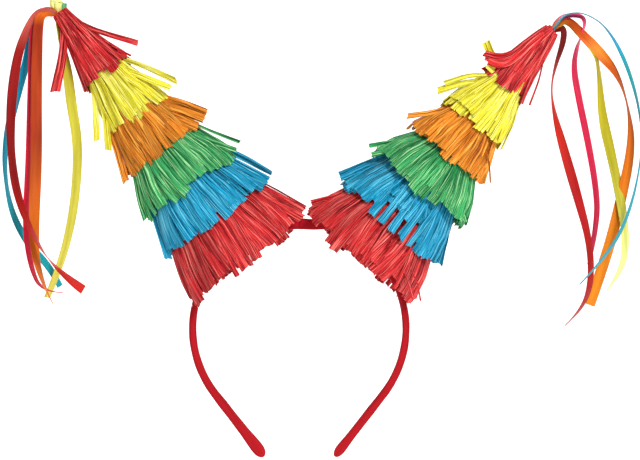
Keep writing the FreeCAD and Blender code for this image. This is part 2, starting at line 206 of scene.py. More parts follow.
def paper_material(name, dark, base, light):
    """Crinkled raffia paper: fine fibres run down each strip, with painted shade in their hollows and a
    painted sheen on their ridges, and strips differ in tone.
    """
    material, tree, shader = new_material(name, 0.5)
    uv = uv_coordinate(tree)
    fibres = noise(tree, uv, FIBRE_SCALE, 3, 0.6)
    # The fibre noise that raises the bump also paints shade into its hollows (the dark end) and a sheen onto
    # its ridges (the light end).
    fibre_shade_and_sheen = ramp(tree, fibres, ((0.40, dark), (0.47, base), (0.53, base), (0.62, light)))
    tones = ramp(tree, noise(tree, uv, PATCH_SCALE, 2),
                 ((0.34, (0.62, 0.62, 0.62)), (0.48, (0.9, 0.9, 0.9)), (0.66, (1.1, 1.1, 1.1))))
    tree.links.new(multiplied(tree, fibre_shade_and_sheen, tones), shader.inputs["Base Color"])
    shader.inputs["Specular IOR Level"].default_value = 0.14
    bump(tree, shader, fibres, 0.9, 0.0012)
    return material


def satin_material(name, tones, gloss=0.08):
    """Woven satin: its tones are (share of SATIN_LENGTH_MM, colour) along it, with smooth
    floats along it and a fine weft across it."""
    material, tree, shader = new_material(name, 0.45)
    uv = uv_coordinate(tree)
    parts = tree.nodes.new("ShaderNodeSeparateXYZ")
    tree.links.new(uv, parts.inputs["Vector"])
    share = tree.nodes.new("ShaderNodeMapRange")
    share.inputs["From Max"].default_value = SATIN_LENGTH_MM
    tree.links.new(parts.outputs["Y"], share.inputs["Value"])
    # Along a ribbon or the band these tones hold painted sheen and painted shade as well as the satin's
    # colour.
    tone_with_painted_sheen_and_shade = ramp(tree, share.outputs["Result"], tones)
    floats = ramp(tree, noise(tree, uv, FLOAT_SCALE, 3, 0.5),
                  ((0.34, (0.78, 0.78, 0.78)), (0.62, (1.06, 1.06, 1.06))))
    tree.links.new(multiplied(tree, tone_with_painted_sheen_and_shade, floats), shader.inputs["Base Color"])
    shader.inputs["Specular IOR Level"].default_value = gloss
    shader.inputs["Anisotropic"].default_value = 0.5
    bump(tree, shader, noise(tree, uv, WEFT_SCALE, 2, 0.5), 0.15, 0.0002)
    return material


def solid_material(name, dark, base, grain, roughness):
    """Board, plastic or glue: faint mottling at the given grain, per metre."""
    material, tree, shader = new_material(name, roughness)
    place = tree.nodes.new("ShaderNodeTexCoord").outputs["Object"]
    mottle = noise(tree, place, (grain, grain, grain), 4, 0.6)
    tree.links.new(ramp(tree, mottle, ((0.35, dark), (0.65, base))), shader.inputs["Base Color"])
    bump(tree, shader, mottle, 0.2, 0.0003)
    return material


# Each paper's darker fibre tone with painted shade in its creases, its own colour, and its lighter fibre tone
# with a painted sheen on it.
PAPER_COLOURS = {
    "paper_red": ((0.10, 0.001, 0.003), (0.56, 0.017, 0.021), (0.88, 0.19, 0.16)),
    "paper_yellow": ((0.30, 0.25, 0.008), (0.77, 0.69, 0.028), (0.97, 0.94, 0.28)),
    "paper_orange": ((0.20, 0.032, 0.003), (0.66, 0.20, 0.012), (0.92, 0.48, 0.08)),
    "paper_green": ((0.003, 0.07, 0.02), (0.035, 0.34, 0.10), (0.42, 0.78, 0.36)),
    "paper_blue": ((0.001, 0.06, 0.13), (0.003, 0.27, 0.46), (0.14, 0.58, 0.76)),
}
PAPERS = {name: paper_material(name, *colours) for name, colours in PAPER_COLOURS.items()}
ROW_PAPERS = ("paper_red", "paper_yellow", "paper_orange", "paper_green", "paper_blue", "paper_red")
# The band's satin is painted darker towards the crown: painted shade where it lies between the cones.
BAND_SATIN = satin_material("band_satin", ((0, (0.27, 0.006, 0.011)), (1, (0.33, 0.009, 0.013))), 0.02)
# Each ribbon's colour from the knot towards its cut end, with painted sheen and painted shade in it:
# lighter where the satin turns to face the light, darker where it turns away or twists edge on.
RIBBON_TONES_WITH_PAINTED_SHEEN_AND_SHADE = {
    # left_red's first tone is a painted sheen where it arcs over the top.
    "left_red": ((0.1, (0.46, 0.08, 0.06)), (0.2, (0.24, 0.009, 0.008)), (0.4, (0.18, 0.006, 0.007)),
                 (0.6, (0.18, 0.006, 0.007)), (0.93, (0.46, 0.014, 0.009))),
    "left_orange": ((0.04, (0.60, 0.12, 0.008)), (0.09, (0.26, 0.024, 0.006)), (0.3, (0.33, 0.036, 0.005)),
                    (0.45, (0.27, 0.027, 0.006)), (0.7, (0.46, 0.09, 0.006)), (0.95, (0.55, 0.12, 0.008))),
    "left_pink": ((0.15, (0.42, 0.011, 0.03)), (0.9, (0.72, 0.012, 0.05))),
    "left_yellow": ((0.15, (0.48, 0.44, 0.035)), (0.5, (0.46, 0.42, 0.045)), (0.9, (0.52, 0.45, 0.06))),
    "left_blue": ((0.15, (0.001, 0.26, 0.45)), (0.45, (0.001, 0.24, 0.36)), (0.6, (0.001, 0.20, 0.29)),
                  (0.93, (0.012, 0.30, 0.36))),
    "right_turquoise": ((0.15, (0.001, 0.17, 0.26)), (0.28, (0.001, 0.27, 0.42)), (0.37, (0.002, 0.25, 0.27)),
                        (0.5, (0.002, 0.15, 0.19)), (0.75, (0.001, 0.24, 0.30))),
    # right_red's darkest tone, near the knot, is painted shade where it twists away from the light.
    "right_red": ((0.12, (0.12, 0.008, 0.007)), (0.24, (0.48, 0.020, 0.012)), (0.36, (0.41, 0.018, 0.010)),
                  (0.58, (0.31, 0.009, 0.010)), (0.75, (0.38, 0.012, 0.012)), (0.9, (0.30, 0.010, 0.010))),
    "right_yellow": ((0.15, (0.40, 0.34, 0.02)), (0.36, (0.40, 0.34, 0.016)), (0.55, (0.35, 0.31, 0.018)),
                     (0.7, (0.42, 0.38, 0.04)), (0.9, (0.60, 0.66, 0.22))),
    # right_orange is painted dark where it twists edge on near the knot (painted shade) and bright where it
    # lies face on (a painted highlight).
    "right_orange": ((0.03, (0.62, 0.16, 0.010)), (0.08, (0.34, 0.05, 0.006)), (0.14, (0.54, 0.075, 0.010)),
                     (0.2, (0.62, 0.19, 0.014)), (0.27, (0.52, 0.085, 0.008)), (0.45, (0.46, 0.085, 0.007)),
                     (0.6, (0.50, 0.115, 0.006)), (0.9, (0.58, 0.17, 0.010))),
    "right_pink": ((0.15, (0.80, 0.042, 0.15)), (0.4, (0.78, 0.020, 0.09)), (0.7, (0.62, 0.008, 0.06)),
                   (0.9, (0.52, 0.008, 0.055))),
}
RIBBON_SATINS = {label: satin_material(f"{label}_satin", tones) for label, tones in RIBBON_TONES_WITH_PAINTED_SHEEN_AND_SHADE.items()}
TIP_SATINS = {
    "yellow": satin_material("tip_yellow_satin", ((0, (0.60, 0.58, 0.12)), (0.1, (0.76, 0.75, 0.36)))),
    "green": satin_material("tip_green_satin", ((0, (0.20, 0.46, 0.10)), (0.06, (0.06, 0.36, 0.24)))),
}


def finish_cad_nodes():
    """The pieces whose CAD shape is right keep it and take a proper material."""
    board = solid_material("cone_board", (0.60, 0.50, 0.38), (0.72, 0.64, 0.52), 900, 0.85)
    glue = solid_material("hot_glue", (0.75, 0.72, 0.62), (0.85, 0.83, 0.75), 300, 0.3)
    plastic = solid_material("band_plastic", (0.70, 0.68, 0.64), (0.78, 0.76, 0.72), 500, 0.45)
    tie = solid_material("tie_satin", (0.36, 0.012, 0.012), (0.55, 0.025, 0.02), 2500, 0.4)
    finishes = {"cone_shell": board, "base_disc": board, "glue_saddle": glue, "core": plastic, "tip_tie": tie}
    for node, thing in frame["nodes"].items():
        for ending, material in finishes.items():
            if node.endswith(ending):
                thing.data.materials.clear()
                thing.data.materials.append(material)


# ---------------------------------------------------------------- thin strips as closed meshes

# The fibres in a strip's texture wander sideways by this much, over this length.
CRINKLES_MM = ((0.12, 2.9), (0.06, 1.6))
# A fold sharper than this shows as an edge.
SHARP_ANGLE = math.radians(50)


class Strips:
    """Collects thin closed strips and makes one mesh of them."""

    def __init__(self):
        self.points = []
        self.faces = []
        self.uvs = []
        self.count = 0

    def add(self, path, side, normal, half_widths, lift, thickness, shift=0.0, cut=0.0):
        """path, side and normal have one row per step; lift has one column per lengthwise line.
        shift moves the strip's texture, and cut is how far its end runs on at each column."""
        rows, columns = lift.shape
        across = np.linspace(-1, 1, columns)
        spread = half_widths[:, None] * across[None, :]
        front = path[:, None] + side[:, None] * spread[..., None] + normal[:, None] * lift[..., None]
        front[-1] += unit(path[-1] - path[-2]) * np.broadcast_to(cut, columns)[:, None]
        back = front - normal[:, None] * thickness
        self.points.append(np.concatenate([front.reshape(-1, 3), back.reshape(-1, 3)]))
        index = self.count + np.arange(rows * columns).reshape(rows, columns)
        under = index + rows * columns
        self.faces.append(quads(index[:-1, :-1], index[1:, :-1], index[1:, 1:], index[:-1, 1:]))
        self.faces.append(quads(under[:-1, :-1], under[:-1, 1:], under[1:, 1:], under[1:, :-1]))
        self.faces.append(quads(index[:-1, 0], under[:-1, 0], under[1:, 0], index[1:, 0]))
        self.faces.append(quads(index[:-1, -1], index[1:, -1], under[1:, -1], under[:-1, -1]))
        self.faces.append(quads(index[0, :-1], index[0, 1:], under[0, 1:], under[0, :-1]))
        self.faces.append(quads(index[-1, :-1], under[-1, :-1], under[-1, 1:], index[-1, 1:]))
        steps = np.linalg.norm(np.diff(path, axis=0), axis=1)
        along = np.concatenate([[0], np.cumsum(steps)])
        crinkle = np.zeros(rows)
        for times, (size, reach) in enumerate(CRINKLES_MM, start=1):
            crinkle += size * np.sin(along / MM / reach + times * shift)
        across_mm = (spread / MM + shift + crinkle[:, None]).ravel()
        along_mm = np.repeat(along / MM, columns)
        uv = np.column_stack([across_mm, along_mm])
        self.uvs.append(np.concatenate([uv, uv]))
        self.count += 2 * rows * columns

    def make(self, name, material):
        """One object of all the strips. add lists each face's corners as seen from inside, so
        they are turned round here."""
        points = np.concatenate(self.points)
        faces = np.concatenate(self.faces)[:, ::-1]
        mesh = bpy.data.meshes.new(name)
        mesh.from_pydata(points.tolist(), [], faces.tolist())
        layer = mesh.uv_layers.new(name="fibre_mm")
        layer.data.foreach_set("uv", np.concatenate(self.uvs)[faces.ravel()].astype(np.float32).ravel())
        mesh.materials.append(material)
        mesh.shade_smooth()
        mesh.set_sharp_from_angle(angle=SHARP_ANGLE)
        thing = bpy.data.objects.new(name, mesh)
        bpy.context.collection.objects.link(thing)
        return thing


def quads(a, b, c, d):
    """Four-cornered faces from four grids of corner numbers."""
    return np.stack([a.ravel(), b.ravel(), c.ravel(), d.ravel()], axis=1)


def unit(vectors):
    """The vectors, each scaled to a length of one."""
    return vectors / np.maximum(np.linalg.norm(vectors, axis=-1, keepdims=True), 1e-12)


def framed(path, outward, twist):
    """Side and normal vectors along a path: the normal starts near outward and turns by twist."""
    tangent = unit(np.gradient(path, axis=0))
    normal = unit(outward - tangent * np.sum(outward * tangent, axis=1, keepdims=True))
    side = np.cross(tangent, normal)
    turn = np.cos(twist)[:, None], np.sin(twist)[:, None]
    return side * turn[0] + normal * turn[1], normal * turn[0] - side * turn[1]


# ---------------------------------------------------------------- the cones' paper fringe

# Each cone's rows, in millimetres down its axis from the ribbon knot, and each row's
# outside radius at its cut ends.
ROW_ENDS_MM = {"left": (51, 82.5, 109.5, 134.5, 159.5, 188), "right": (50, 79, 104, 129, 156, 181)}
ROW_SPREADS_MM = {"left": (17, 20.5, 26, 33, 37, 41.3), "right": (15, 22.4, 28, 36, 37.7, 41.8)}
SHELL_KNOT_RADIUS_MM = 2.25
SHELL_SLOPE = 0.187
PAPER_GAP_MM = 1.0
# A row starts this far above the end of the row over it.
HEM_HEIGHT_MM = 9
# How the top row starts, as (height, radius): it is bound round the ribbons at the knot.
TOP_ROLL_MM = {"left": ((4, 3.8), (12, 5.5), (20, 7.5)), "right": ((5.6, 3.6), (12, 5.8), (20, 7.8))}
# A stretch where a row's own strips are short: from and to, as angles, and by how much.
SHORT_STRETCH_MM = {("right", 4): (4.36, 5.2, 9.5)}
# How much longer each row hangs at the front and the back than at its sides.
FRONT_DROOP_MM = (0, 1, 1.5, 2, 3, 4)
# Below the hem above it, a row has swelled this share of the way to its full radius
# at this share of its bare length.
BULGE_RISE = 0.66
BULGE_AT = 0.5
# How much less than its spread a row's outer layer reaches, and how far its top is tucked in.
SPREAD_TRIM_MM = 0.6
TUCK_MM = 0.6
# How far past its own end a row's profile runs on, and how much the top row flares there.
PROFILE_PAST_MM = 20
TOP_FLARE_MM = 5.5

PAPER_MM = 0.22
PLEAT_WIDTH_MM = 0.8
# A strip's cut end curls across by this share of its width, give or take, and is cut aslant
# and ragged.
CURL, CURL_VARIES = -0.09, 0.08
SLANT_MM = 0.5
RAGGED_MM = 0.2

# Strips hang in groups. A group leans sideways, lifts and runs longer by about this much.
GROUP_VARIES_MM = (2.4, 0.8, 1.7)
# Each strip in it varies by this much more, and leans in towards the group's middle.
MEMBER_VARIES_MM = (0.7, 0.45, 0.7)
LEAN_IN_MM = 0.35
WIDE_STRIPS_MM = (3.8, 8.4)
NARROW_STRIPS_MM = (1.8, 3.4)
WIDE_SHARE = 0.78
# Strips are set out on a circle with this share of their row's spread, and each takes this
# share of its width there.
SETTING_OUT = 0.95
STRIP_PITCH = 0.95

# The under layer hangs straight, this far inside the outer layer and this much shorter.
UNDER_MM = 0.9
TOP_ROW_UNDER_MM = 0.4
UNDER_SHORTER_MM = 2.5
# Strips lean less in proportion where a row's spread is less than this.
FULL_LEAN_SPREAD_MM = 28
# No strip is shorter or sits closer in than this.
LEAST_LONGER_MM = -2.0
LEAST_LIFT_MM = -0.6
# How many waves there are round a row's cut ends.
HEM_WAVES = (3, 5, 9)
# A strip is drawn in this many steps, and stays by the cone until this one.
STRIP_STEPS = 12
FLARE_STEP = 4
# Each strip sits a little in or out, wanders sideways, and twists, mostly at its cut end.
UNEVEN_MM = 0.25
SWAY_MM = 0.12
SWAY_REACH_MM = 9
END_TWIST, WHOLE_TWIST = 0.26, 0.06


class Cone:
    """One cone's axes: down from the ribbon knot, across in the band's plane, and depth."""

    def __init__(self, name):
        self.name = name
        swing = [j for j in frame["joints"] if j["name"] == f"{name}_red_ribbon_swing"][0]
        self.knot = np.array(swing["pos_m"])
        self.down = -unit(self.knot)
        self.across = np.array([-self.down[2], 0, self.down[0]])
        self.depth = np.array([0.0, 1.0, 0.0])

    def outward(self, angle):
        """The way out from the axis at an angle round it: 0 is across, and 3 pi / 2 is the front."""
        return self.across * np.cos(angle)[..., None] + self.depth * np.sin(angle)[..., None]

    def point(self, height_mm, radius_mm, angle):
        """The place this far down the axis and this far out from it."""
        height, radius = np.asarray(height_mm) * MM, np.asarray(radius_mm) * MM
        return self.knot + self.down * height[..., None] + self.outward(angle) * radius[..., None]

    def profile(self, row):
        """(heights, radii) that a row's strips follow, in millimetres."""
        ends, spreads = ROW_ENDS_MM[self.name], ROW_SPREADS_MM[self.name]
        end, spread = ends[row], spreads[row]
        if row == 0:
            return tuple(zip(*TOP_ROLL_MM[self.name], (end, spread - SPREAD_TRIM_MM),
                             (end + PROFILE_PAST_MM, spread + TOP_FLARE_MM)))
        above = ends[row - 1]
        start = above - HEM_HEIGHT_MM
        top = SHELL_KNOT_RADIUS_MM + PAPER_GAP_MM + SHELL_SLOPE * start
        low = SHELL_KNOT_RADIUS_MM + PAPER_GAP_MM + SHELL_SLOPE * above
        full = spread - SPREAD_TRIM_MM
        bulge = low + BULGE_RISE * (full - low)
        return ((start, above, above + BULGE_AT * (end - above), end, end + PROFILE_PAST_MM),
                (top - TUCK_MM, low, bulge, full, spread))


def smooth_wave(random, angle, waves, size):
    """A smooth bump pattern round the cone, so that neighbouring strips end alike."""
    total = np.zeros_like(angle)
    for wave in waves:
        total = total + random.normal() * np.cos(wave * angle + random.uniform(0, 2 * math.pi))
    return size * total / math.sqrt(len(waves))


def paper_strip(strips, random, path, outward, twist, width, narrow=0.85, pleat=0.34):
    """One paper strip with lengthwise pleats. Its top is narrow times as wide as its cut end."""
    columns = int(max(3, min(10, round(width / MM / PLEAT_WIDTH_MM)))) + 1
    along = np.linspace(0, 1, len(path))
    side, normal = framed(path, outward, twist)
    half = width / 2 * (narrow + (1 - narrow) * along)
    across = np.linspace(-1, 1, columns)
    fold = random.normal(size=columns) * pleat * MM
    curl = random.normal() * CURL_VARIES + CURL
    drift = random.normal(size=columns) * pleat * 0.5 * MM + curl * width * across ** 2
    lift = fold[None, :] + along[:, None] * drift[None, :]
    slant = (random.normal() * SLANT_MM * across + random.normal(size=columns) * RAGGED_MM) * MM
    strips.add(path, side, normal, half, lift, PAPER_MM * MM, shift=random.uniform(0, 4000), cut=slant)


def strip_groups(random, spread):
    """Neighbouring strips round the cone, as (angle, width in mm, lean in mm, lift in mm,
    longer by in mm). Two to four at a time hang together, apart from the next group."""
    angle = random.uniform(0, 0.2)
    stop = angle + 2 * math.pi
    lean_varies, lift_varies, longer_varies = MEMBER_VARIES_MM
    strips = []
    while angle < stop:
        members = random.integers(2, 5)
        lean, lift, longer = random.normal(size=3) * GROUP_VARIES_MM
        for member in range(members):
            widths = WIDE_STRIPS_MM if random.random() < WIDE_SHARE else NARROW_STRIPS_MM
            width = random.uniform(*widths)
            out = (member - (members - 1) / 2) * LEAN_IN_MM
            strips.append((angle + width / spread / 2, width, lean - out + random.normal() * lean_varies,
                           lift + random.normal() * lift_varies, longer + random.normal() * longer_varies))
            angle += width / spread * STRIP_PITCH
    return strips


def make_row(cone, row, random):
    """A row of fringe: two layers of overlapping strips of mixed widths round the cone."""
    heights, radii = cone.profile(row)
    end = ROW_ENDS_MM[cone.name][row]
    spread = ROW_SPREADS_MM[cone.name][row]
    strips = Strips()
    short_from, short_to, short_by = SHORT_STRETCH_MM.get((cone.name, row), (0, 0, 0))
    under = TOP_ROW_UNDER_MM if row == 0 else UNDER_MM
    fan = min(1.0, spread / FULL_LEAN_SPREAD_MM)
    for offset, shorter, loose in ((-under, UNDER_SHORTER_MM, 0.0), (0.0, 0.0, fan)):
        waves = random.integers(1 << 30)
        for centre, width, lean, lift, longer in strip_groups(random, spread * SETTING_OUT):
            wave = smooth_wave(np.random.default_rng(waves), np.array(centre), HEM_WAVES, 1.0)
            droop = FRONT_DROOP_MM[row] * abs(math.sin(centre))
            length = end + wave + droop + max(longer, LEAST_LONGER_MM) - shorter
            if short_from < centre % (2 * math.pi) < short_to:
                length -= short_by
            height = np.linspace(heights[0], length, STRIP_STEPS)
            hugging = height[FLARE_STEP]
            flare = np.clip((height - hugging) / (length - hugging), 0, 1)
            radius = np.interp(height, heights, radii) + offset
            radius = radius + flare ** 2 * max(lift, LEAST_LIFT_MM) + random.uniform(-UNEVEN_MM, UNEVEN_MM)
            sway = smooth_wave(random, height / SWAY_REACH_MM, (1, 2), SWAY_MM / spread)
            turn = centre + loose * lean / spread * flare + sway
            path = cone.point(height, radius, turn)
            twist = random.normal() * END_TWIST * flare ** 2 + random.normal() * WHOLE_TWIST
            paper_strip(strips, random, path, cone.outward(turn), twist, width * MM)
    return strips


# Loose strands that stray from each row, in millimetres: where each leaves the row, where it
# passes and where it ends, as (x, y, z), and its width.
STRAYS_MM = {
    "left_red_top": (
        (((-137, -3, 186), (-122, -4, 178.5), (-96.8, -4, 171)), 3.8),
        (((-134, -4, 182), (-118, -5, 172), (-100.5, -5, 163.5)), 1.2),
        (((-133, -4, 180), (-116, -6, 168), (-103, -6, 163.5)), 3.8),
        (((-140.6, -3, 180), (-141.6, -5, 163), (-146.4, -6, 141.8)), 6.4),
    ),
    "left_yellow": (
        (((-112, -4, 164), (-92, -6, 157), (-73.4, -6, 148.5)), 3.6),
        (((-114, -7, 159), (-94, -11, 151), (-76.4, -12, 143.7)), 4.6),
        (((-122.5, -6, 146), (-121.6, -7, 130), (-120.6, -8, 112.4)), 4.4),
        (((-119.5, -8, 144), (-115.6, -10, 126), (-113.6, -11, 106.5)), 4.4),
    ),
    "left_orange": (
        (((-112.8, -6, 118), (-107.6, -8, 102), (-103.4, -9, 87.6)), 4.4),
        (((-86, -4, 140), (-70, -7, 134.8), (-55.2, -8, 129.0)), 5.0),
        (((-87, -8, 136), (-71, -12, 130.4), (-56.8, -13, 124.8)), 5.6),
        (((-88, -11, 132), (-73, -15, 126.4), (-60, -17, 120.4)), 5.6),
    ),
    "left_green": (
        (((-78, -5, 130), (-55, -9, 119), (-35.4, -9, 111.6)), 2.0),
        (((-78, -9, 124), (-56, -14, 113), (-37.2, -14, 106.6)), 3.0),
        (((-98.4, -7, 92), (-95.4, -9, 77), (-91.6, -9, 65.4)), 3.4),
    ),
    "left_blue": (
        (((-88.6, -9, 74), (-82.6, -11, 56), (-78, -12, 42)), 4.6),
        (((-50, -6, 109.5), (-33, -10, 102), (-16.6, -12, 92.4)), 5.2),
        (((-52, -10, 106), (-35, -15, 97.6), (-18.2, -17, 88.2)), 5.6),
        (((-54, -14, 102), (-38, -19, 93), (-21.4, -21, 84.0)), 5.6),
    ),
    "left_red_base": (
        (((-74.6, -8, 42), (-70, -11, 28), (-65, -12, 18.6)), 1.0),
        (((-38, -6, 96), (-12, -9, 82.4), (4.0, -9, 73)), 1.2),
        (((-38, -9, 93), (-12, -13, 79), (2.6, -13, 70.4)), 5.0),
        (((-38, -12, 88), (-16, -18, 75), (1.4, -18, 65.5)), 5.4),
    ),
    "right_red_top": (
        (((146.4, -4, 179), (137, -7, 173), (127, -9, 164), (119, -9, 162), (110.4, -9, 164.6)), 4.0),
        (((146, -6, 177), (136, -9, 170), (126.5, -12, 160.6), (119, -12, 159.4), (110.8, -12, 162)), 4.0),
        (((145, -7, 176), (134, -11, 166), (125, -13, 157.5), (118, -14, 156.6), (112.4, -14, 159.4)), 4.6),
        (((143, -7, 174), (134, -11, 163), (127, -13, 154.6)), 5.2),
        (((146.4, -5, 162), (143, -7, 148), (137.4, -8, 133.5)), 1.3),
    ),
    "right_yellow": (
        (((121, -3, 158), (114.5, -3, 165), (111.8, -4, 171.8)), 5.4),
        (((124, -8, 148), (118, -9, 152), (112.6, -10, 158.4)), 5.0),
        (((114, -4, 149), (98, -9, 147), (82.6, -10, 142.6)), 4.2),
        (((114, -8, 152), (100, -12, 151), (86.4, -12, 146.4)), 3.2),
    ),
    "right_orange": (
        (((110, -12, 112), (113, -16, 98), (113.6, -17, 87)), 1.1),
        (((92, -4, 133), (78, -10, 129), (64.4, -12, 127)), 3.4),
    ),
    "right_green": (
        (((74, -4, 118), (57, -10, 112), (41.6, -12, 109.2)), 2.8),
        (((74, -9, 115), (57, -15, 107), (43, -17, 103.8)), 3.0),
        (((91, -9, 88), (96, -11, 74), (99.6, -12, 63.6)), 2.6),
    ),
    "right_blue": (
        (((54, -4, 104), (38, -11, 97), (24.2, -13, 91)), 6.0),
        (((54, -10, 99), (40, -18, 89), (28.4, -20, 82.6)), 5.0),
        (((60.0, -26, 90), (51.0, -33, 78), (42.4, -37, 68.4)), 5.2),
        (((65.5, -29, 86), (57.0, -35, 75), (47.6, -38, 63.6)), 5.2),
        (((70.0, -30, 81), (61.8, -35, 70), (53.4, -38.6, 58.6)), 5.2),
        (((75.5, -30, 76), (67.6, -35, 65), (59.4, -38.2, 54.4)), 5.2),
        (((80.6, -28, 71), (72.6, -33, 60), (64.6, -36.4, 49.6)), 5.2),
    ),
    "right_red_base": (
        (((42, -4, 90), (24, -11, 79), (7.4, -12, 74.6)), 5.0),
        (((40, -10, 86), (24, -17, 73), (8.4, -19, 66)), 6.0),
        (((31, -26, 64), (24, -30, 57), (20, -30, 53), (29, -32, 52.6)), 3.4),
        (((60.4, -30, 37), (64.5, -32, 28), (67, -33, 18.6)), 0.9),
        (((66, -28, 36), (70, -30, 27), (71.4, -31, 17.4)), 0.9),
    ),
}


def curve_through(points, steps):
    """A smooth run of places through a few points, evenly spread over their straight length."""
    points = np.array(points, dtype=float)
    knots = np.concatenate([[0], np.cumsum(np.linalg.norm(np.diff(points, axis=0), axis=1))])
    even = np.linspace(0, knots[-1], steps)
    straight = np.column_stack([np.interp(even, knots, points[:, axis]) for axis in range(3)])
    kernel = np.hanning(7)[1:-1]
    kernel = kernel / kernel.sum()
    ends = 2 * straight[:1] - straight[2:0:-1], 2 * straight[-1:] - straight[-2:-4:-1]
    padded = np.concatenate([ends[0], straight, ends[1]])
    return np.column_stack([np.convolve(padded[:, axis], kernel, mode="valid") for axis in range(3)])


STRAY_STEPS = 13
STRAY_TWIST = 0.5
FRINGE_SEEDS = {"left": 7, "right": 11}


def add_strays(strips, key, random):
    """Add a row's loose strands to its strips."""
    for points, width in STRAYS_MM[key]:
        path = curve_through(points, STRAY_STEPS) * MM
        facing = np.tile([0.0, -1.0, 0.0], (len(path), 1))
        twist = np.linspace(0, random.normal() * STRAY_TWIST, len(path))
        paper_strip(strips, random, path, facing, twist, width * MM, narrow=0.7)


def make_fringe():
    """All six rows of both cones."""
    for name, _ in SIDES:
        cone = Cone(name)
        for row, label in enumerate(ROW_NAMES):
            random = np.random.default_rng(100 * row + FRINGE_SEEDS[name])
            strips = make_row(cone, row, random)
            add_strays(strips, f"{name}_{label}", random)
            node = f"{name}_fringe_{label}"
            piece = strips.make(f"{node}_paper", PAPERS[ROW_PAPERS[row]])
            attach(piece, "root")
            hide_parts(node)


# ---------------------------------------------------------------- the satin band

# The band's middle line: its arc's radius, the angle from the crown where the arc ends, and
# the straight run below it.
BAND_MIDDLE = 0.064
ARC_END = math.radians(128)
ARM_STRAIGHT = 0.0475
# (distance down the half band as a share of it, half its thickness, half its width), in mm
BAND_SHAPES_MM = {
    "left": ((0, 2.1, 3.6), (0.55, 2.2, 3.6), (0.75, 2.5, 3.7), (0.9, 3.0, 3.8), (0.96, 3.6, 4.0),
             (1, 3.5, 3.9)),
    "right": ((0, 2.1, 3.6), (0.55, 2.2, 3.6), (0.75, 2.4, 3.7), (0.9, 2.6, 3.7), (0.96, 2.8, 3.8),
              (1, 2.8, 3.8)),
}
# From this share of its length the tube closes to a round end.
BAND_CLOSES = 0.97
BAND_STEPS = 110
BAND_AROUND = 28
# The band's section is nearly square: its corners follow a sine to this power.
BAND_SQUARENESS = 0.45
# At the crown the cloth is bunched between the two cones, this much and this far.
CROWN_BUNCH_MM = 2.4
CROWN_BUNCH_REACH_MM = 15
# The cloth's ripples repeat over these lengths, and its wrap is slightly slanted.
RIPPLES_MM = (2.3, 3.7, 6.1)
RIPPLE_MM = 0.035
WRAP_SLANT_MM = 0.03
# The seam is a shallow groove at this angle round the tube, that drifts along it.
SEAM_MM = 0.1225
SEAM_ANGLE = 3.9
SEAM_HALF_ANGLE = 0.16
SEAM_DRIFT_PER_MM = 0.002
BAND_SEEDS = {"left": 5, "right": 6}


def band_line(side, distance):
    """The band's middle line at a distance from the crown: an arc, then a straight run."""
    turn = np.minimum(distance / BAND_MIDDLE, ARC_END)
    beyond = np.maximum(distance - BAND_MIDDLE * ARC_END, 0)
    x = BAND_MIDDLE * np.sin(turn) + beyond * math.cos(ARC_END)
    z = BAND_MIDDLE * np.cos(turn) - beyond * math.sin(ARC_END)
    return np.column_stack([side * x, np.zeros_like(x), z])


